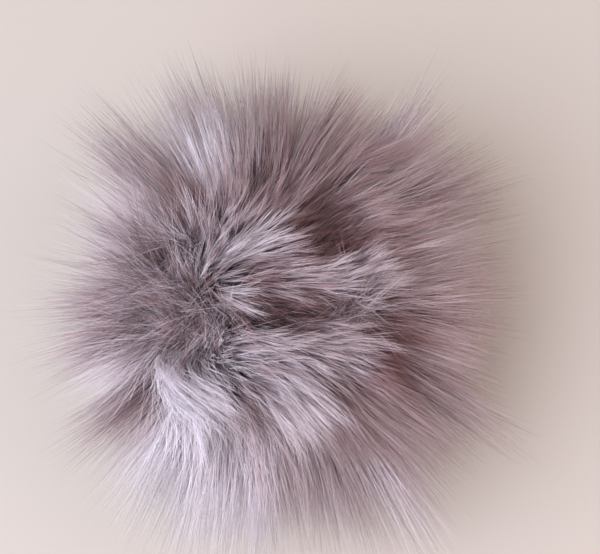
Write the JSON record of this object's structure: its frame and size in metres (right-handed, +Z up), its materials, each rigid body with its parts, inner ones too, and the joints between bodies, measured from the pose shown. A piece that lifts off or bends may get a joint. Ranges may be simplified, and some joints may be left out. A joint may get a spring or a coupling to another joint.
{
  "type": "pom pom",
  "caption": "Round long-pile faux fur pom pom in lavender grey with brown roots, resting on its pressed underside.",
  "frame": {"origin": "on the surface it rests on, under the middle of the ball, at the middle of the flat spot pressed into the pile", "axes": "+Z up, away from the surface; +Y away from a viewer who has the short-haired whorl of the crown at the left; +X to that viewer's right, the way the crests on the crown lean"},
  "size_m": [0.1279, 0.1312, 0.0938],
  "materials": {
    "fur": "long-pile faux fur, lavender-grey tips over mauve-brown roots"
  },
  "bodies": {
    "root": {"fur": "fur"}
  },
  "joints": []
}
